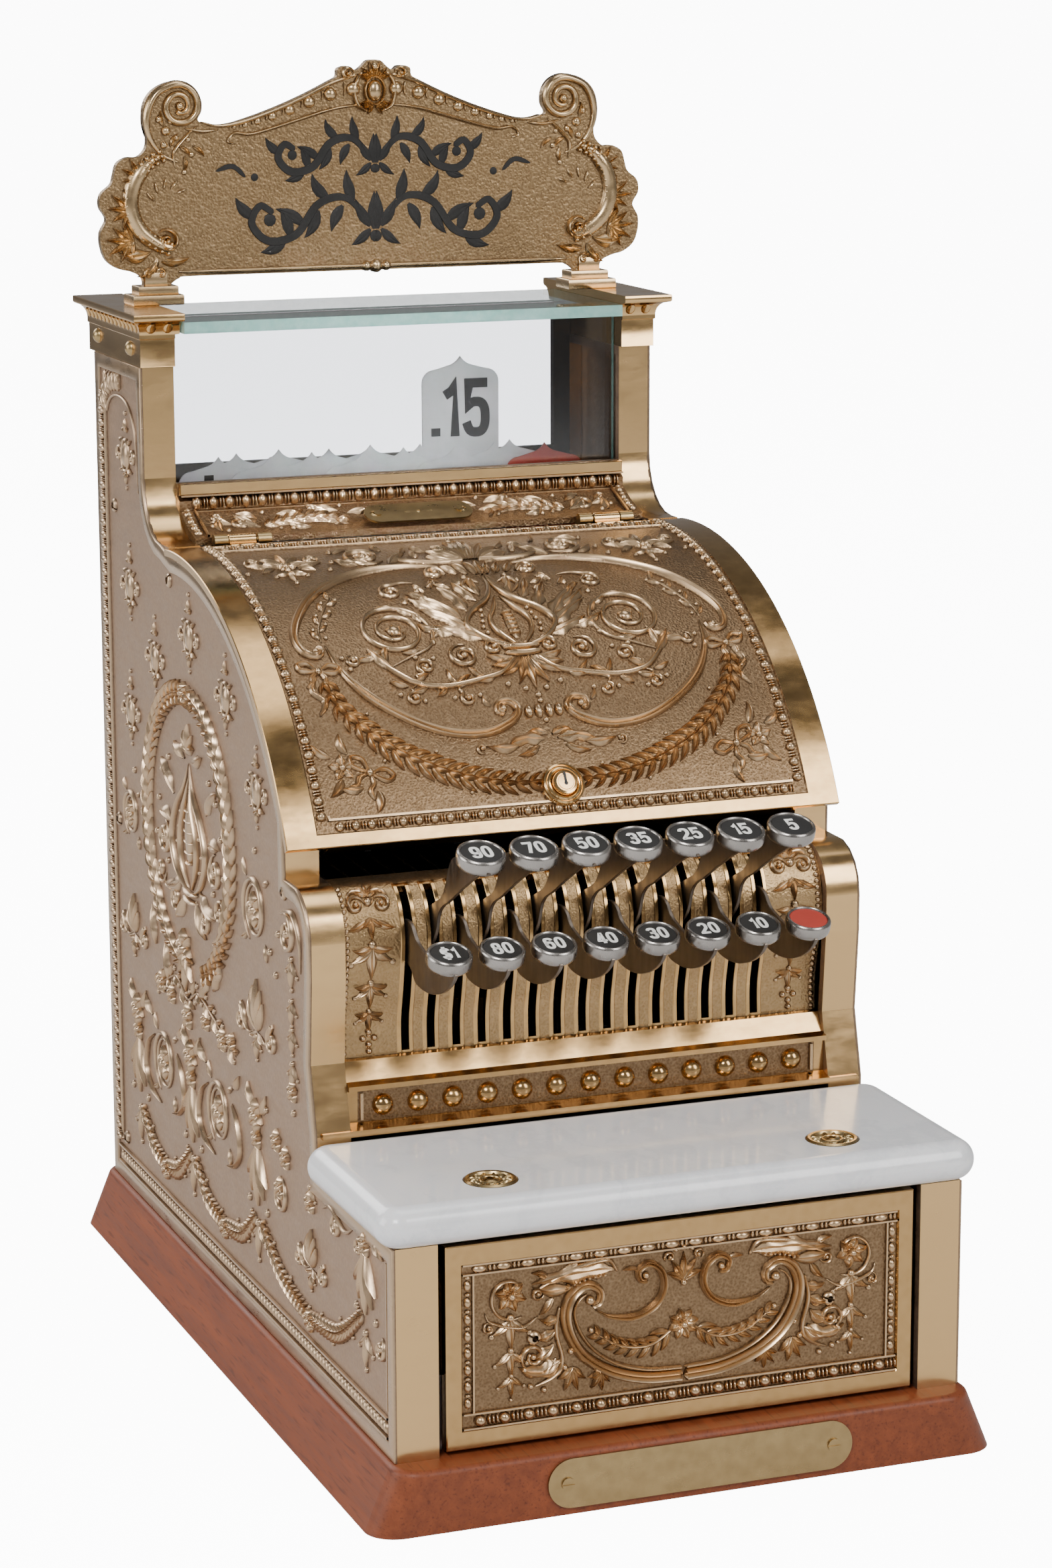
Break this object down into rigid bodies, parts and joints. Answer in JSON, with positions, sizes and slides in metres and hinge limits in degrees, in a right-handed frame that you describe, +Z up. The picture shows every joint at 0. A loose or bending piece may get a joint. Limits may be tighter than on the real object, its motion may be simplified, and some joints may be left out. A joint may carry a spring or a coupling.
{
  "type": "antique cash register",
  "caption": "Small brass counter register: sprung keys raise price flags behind a window, hinged curved lid over the mechanism, cash drawer under a marble shelf.",
  "frame": {"origin": "centre of the wooden base's underside", "axes": "+X to the operator's right, +Y towards the customer, +Z up; the keys and the drawer face -Y"},
  "size_m": [0.263, 0.4253, 0.536],
  "materials": {
    "polished_brass": "polished",
    "cast_brass": "cast relief, burnished high points",
    "side_brass": "matte lacquered ground with bright relief",
    "base_wood": "satin varnish",
    "drawer_wood": "satin",
    "marble": "polished",
    "key_nickel": "worn nickel",
    "flag_enamel": "matte enamel",
    "flag_red": "matte enamel",
    "clear_glass": "polished",
    "dark_bronze": "satin",
    "mechanism_steel": "oiled",
    "mechanism_iron": "japanned",
    "bell_metal": "polished"
  },
  "bodies": {
    "cabinet": {"wood_base": "base_wood", "base_nameplate": "polished_brass", "cabinet_screws": "polished_brass", "left_side_casting": "side_brass", "right_side_casting": "side_brass", "back_panel": "polished_brass", "upper_front_panel": "cast_brass", "serial_plate": "polished_brass", "marble_shelf": "marble", "shelf_rosettes": "cast_brass", "keyboard_plate": "cast_brass", "keyboard_rail": "polished_brass", "key_shaft": "mechanism_steel", "flag_guides": "mechanism_steel", "window_panes": "clear_glass", "top_glass": "clear_glass", "rear_window_frame": "dark_bronze", "cornices": "polished_brass", "top_sign": "cast_brass", "lid_hinges": "polished_brass", "mechanism_deck": "mechanism_iron", "mechanism_frame": "mechanism_iron", "bell_gong": "bell_metal", "drawer_runners": "drawer_wood"},
    "lid": {"lid_casting": "cast_brass", "lock_escutcheon": "polished_brass"},
    "lock": {"lock_barrel": "polished_brass"},
    "drawer": {"drawer_box": "drawer_wood", "drawer_front": "polished_brass"},
    "bell_hammer": {"bell_hammer": "mechanism_steel"},
    "key_01": {"key_01": "key_nickel"},
    "key_02": {"key_02": "key_nickel"},
    "key_03": {"key_03": "key_nickel"},
    "key_04": {"key_04": "key_nickel"},
    "key_05": {"key_05": "key_nickel"},
    "key_06": {"key_06": "key_nickel"},
    "key_07": {"key_07": "key_nickel"},
    "key_08": {"key_08": "key_nickel"},
    "key_09": {"key_09": "key_nickel"},
    "key_10": {"key_10": "key_nickel"},
    "key_11": {"key_11": "key_nickel"},
    "key_12": {"key_12": "key_nickel"},
    "key_13": {"key_13": "key_nickel"},
    "key_14": {"key_14": "key_nickel"},
    "key_15": {"key_15": "key_nickel"},
    "flag_01": {"flag_01": "flag_enamel"},
    "flag_02": {"flag_02": "flag_enamel"},
    "flag_03": {"flag_03": "flag_enamel"},
    "flag_04": {"flag_04": "flag_enamel"},
    "flag_05": {"flag_05": "flag_enamel"},
    "flag_06": {"flag_06": "flag_enamel"},
    "flag_07": {"flag_07": "flag_enamel"},
    "flag_08": {"flag_08": "flag_enamel"},
    "flag_09": {"flag_09": "flag_enamel"},
    "flag_10": {"flag_10": "flag_enamel"},
    "flag_11": {"flag_11": "flag_enamel"},
    "flag_12": {"flag_12": "flag_enamel"},
    "flag_13": {"flag_13": "flag_enamel"},
    "flag_14": {"flag_14": "flag_enamel"},
    "flag_15": {"flag_15": "flag_red"}
  },
  "joints": [
    {"name": "lid_hinge", "type": "hinge", "parent": "cabinet", "child": "lid", "pos_m": [0, 0.092, 0.336], "axis": [-1, 0, 0], "range_deg": [0, 100]},
    {"name": "drawer_slide", "type": "slide", "parent": "cabinet", "child": "drawer", "axis": [0, -1, 0], "range_m": [0, 0.235]},
    {"name": "lock_turn", "type": "hinge", "parent": "lid", "child": "lock", "pos_m": [0, -0.07064, 0.2539], "axis": [0, -0.8517, 0.524], "range_deg": [0, 180]},
    {"name": "hammer_swing", "type": "hinge", "parent": "cabinet", "child": "bell_hammer", "pos_m": [0.052, 0.05, 0.126], "axis": [0, 0, -1], "range_deg": [0, 18], "stiffness_Nm_per_rad": 0.05, "springref_deg": -2.86},
    {"name": "key_01_press", "type": "hinge", "parent": "cabinet", "child": "key_01", "pos_m": [-0.07602, -0.03, 0.175], "axis": [1, 0, 0], "range_deg": [0, 11], "stiffness_Nm_per_rad": 1, "springref_deg": -2.86},
    {"name": "flag_01_rise", "type": "slide", "parent": "cabinet", "child": "flag_01", "axis": [0, 0, 1], "range_m": [0, 0.03549]},
    {"name": "key_02_press", "type": "hinge", "parent": "cabinet", "child": "key_02", "pos_m": [-0.06516, -0.03, 0.175], "axis": [1, 0, 0], "range_deg": [0, 11], "stiffness_Nm_per_rad": 1, "springref_deg": -2.86},
    {"name": "flag_02_rise", "type": "slide", "parent": "cabinet", "child": "flag_02", "axis": [0, 0, 1], "range_m": [0, 0.03714]},
    {"name": "key_03_press", "type": "hinge", "parent": "cabinet", "child": "key_03", "pos_m": [-0.0543, -0.03, 0.175], "axis": [1, 0, 0], "range_deg": [0, 11], "stiffness_Nm_per_rad": 1, "springref_deg": -2.86},
    {"name": "flag_03_rise", "type": "slide", "parent": "cabinet", "child": "flag_03", "axis": [0, 0, 1], "range_m": [0, 0.03403]},
    {"name": "key_04_press", "type": "hinge", "parent": "cabinet", "child": "key_04", "pos_m": [-0.04344, -0.03, 0.175], "axis": [1, 0, 0], "range_deg": [0, 11], "stiffness_Nm_per_rad": 1, "springref_deg": -2.86},
    {"name": "flag_04_rise", "type": "slide", "parent": "cabinet", "child": "flag_04", "axis": [0, 0, 1], "range_m": [0, 0.03831]},
    {"name": "key_05_press", "type": "hinge", "parent": "cabinet", "child": "key_05", "pos_m": [-0.03258, -0.03, 0.175], "axis": [1, 0, 0], "range_deg": [0, 11], "stiffness_Nm_per_rad": 1, "springref_deg": -2.86},
    {"name": "flag_05_rise", "type": "slide", "parent": "cabinet", "child": "flag_05", "axis": [0, 0, 1], "range_m": [0, 0.03549]},
    {"name": "key_06_press", "type": "hinge", "parent": "cabinet", "child": "key_06", "pos_m": [-0.02172, -0.03, 0.175], "axis": [1, 0, 0], "range_deg": [0, 11], "stiffness_Nm_per_rad": 1, "springref_deg": -2.86},
    {"name": "flag_06_rise", "type": "slide", "parent": "cabinet", "child": "flag_06", "axis": [0, 0, 1], "range_m": [0, 0.03714]},
    {"name": "key_07_press", "type": "hinge", "parent": "cabinet", "child": "key_07", "pos_m": [-0.01086, -0.03, 0.175], "axis": [1, 0, 0], "range_deg": [0, 11], "stiffness_Nm_per_rad": 1, "springref_deg": -2.86},
    {"name": "flag_07_rise", "type": "slide", "parent": "cabinet", "child": "flag_07", "axis": [0, 0, 1], "range_m": [0, 0.03403]},
    {"name": "key_08_press", "type": "hinge", "parent": "cabinet", "child": "key_08", "pos_m": [0, -0.03, 0.175], "axis": [1, 0, 0], "range_deg": [0, 11], "stiffness_Nm_per_rad": 1, "springref_deg": -2.86},
    {"name": "flag_08_rise", "type": "slide", "parent": "cabinet", "child": "flag_08", "axis": [0, 0, 1], "range_m": [0, 0.03831]},
    {"name": "key_09_press", "type": "hinge", "parent": "cabinet", "child": "key_09", "pos_m": [0.01086, -0.03, 0.175], "axis": [1, 0, 0], "range_deg": [0, 11], "stiffness_Nm_per_rad": 1, "springref_deg": -2.86},
    {"name": "flag_09_rise", "type": "slide", "parent": "cabinet", "child": "flag_09", "axis": [0, 0, 1], "range_m": [0, 0.03549]},
    {"name": "key_10_press", "type": "hinge", "parent": "cabinet", "child": "key_10", "pos_m": [0.02172, -0.03, 0.175], "axis": [1, 0, 0], "range_deg": [0, 11], "stiffness_Nm_per_rad": 1, "springref_deg": -2.86},
    {"name": "flag_10_rise", "type": "slide", "parent": "cabinet", "child": "flag_10", "axis": [0, 0, 1], "range_m": [0, 0.03714]},
    {"name": "key_11_press", "type": "hinge", "parent": "cabinet", "child": "key_11", "pos_m": [0.03258, -0.03, 0.175], "axis": [1, 0, 0], "range_deg": [0, 11], "stiffness_Nm_per_rad": 1, "springref_deg": -2.86},
    {"name": "flag_11_rise", "type": "slide", "parent": "cabinet", "child": "flag_11", "axis": [0, 0, 1], "range_m": [0, 0.03403]},
    {"name": "key_12_press", "type": "hinge", "parent": "cabinet", "child": "key_12", "pos_m": [0.04344, -0.03, 0.175], "axis": [1, 0, 0], "range_deg": [0, 11], "stiffness_Nm_per_rad": 1, "springref_deg": -2.86},
    {"name": "flag_12_rise", "type": "slide", "parent": "cabinet", "child": "flag_12", "axis": [0, 0, 1], "range_m": [-0.0384, 0]},
    {"name": "key_13_press", "type": "hinge", "parent": "cabinet", "child": "key_13", "pos_m": [0.0543, -0.03, 0.175], "axis": [1, 0, 0], "range_deg": [0, 11], "stiffness_Nm_per_rad": 1, "springref_deg": -2.86},
    {"name": "flag_13_rise", "type": "slide", "parent": "cabinet", "child": "flag_13", "axis": [0, 0, 1], "range_m": [0, 0.03549]},
    {"name": "key_14_press", "type": "hinge", "parent": "cabinet", "child": "key_14", "pos_m": [0.06516, -0.03, 0.175], "axis": [1, 0, 0], "range_deg": [0, 11], "stiffness_Nm_per_rad": 1, "springref_deg": -2.86},
    {"name": "flag_14_rise", "type": "slide", "parent": "cabinet", "child": "flag_14", "axis": [0, 0, 1], "range_m": [0, 0.03714]},
    {"name": "key_15_press", "type": "hinge", "parent": "cabinet", "child": "key_15", "pos_m": [0.07602, -0.03, 0.175], "axis": [1, 0, 0], "range_deg": [0, 11], "stiffness_Nm_per_rad": 1, "springref_deg": -2.86},
    {"name": "flag_15_rise", "type": "slide", "parent": "cabinet", "child": "flag_15", "axis": [0, 0, 1], "range_m": [0, 0.03403]}
  ],
  "couplings": [
    {"joint": "flag_01_rise", "follows": "key_01_press", "m_per_rad": 0.18478},
    {"joint": "flag_02_rise", "follows": "key_02_press", "m_per_rad": 0.19338},
    {"joint": "flag_03_rise", "follows": "key_03_press", "m_per_rad": 0.17718},
    {"joint": "flag_04_rise", "follows": "key_04_press", "m_per_rad": 0.19946},
    {"joint": "flag_05_rise", "follows": "key_05_press", "m_per_rad": 0.18478},
    {"joint": "flag_06_rise", "follows": "key_06_press", "m_per_rad": 0.19338},
    {"joint": "flag_07_rise", "follows": "key_07_press", "m_per_rad": 0.17718},
    {"joint": "flag_08_rise", "follows": "key_08_press", "m_per_rad": 0.19946},
    {"joint": "flag_09_rise", "follows": "key_09_press", "m_per_rad": 0.18478},
    {"joint": "flag_10_rise", "follows": "key_10_press", "m_per_rad": 0.19338},
    {"joint": "flag_11_rise", "follows": "key_11_press", "m_per_rad": 0.17718},
    {"joint": "flag_13_rise", "follows": "key_13_press", "m_per_rad": 0.18478},
    {"joint": "flag_14_rise", "follows": "key_14_press", "m_per_rad": 0.19338},
    {"joint": "flag_15_rise", "follows": "key_15_press", "m_per_rad": 0.17718}
  ]
}
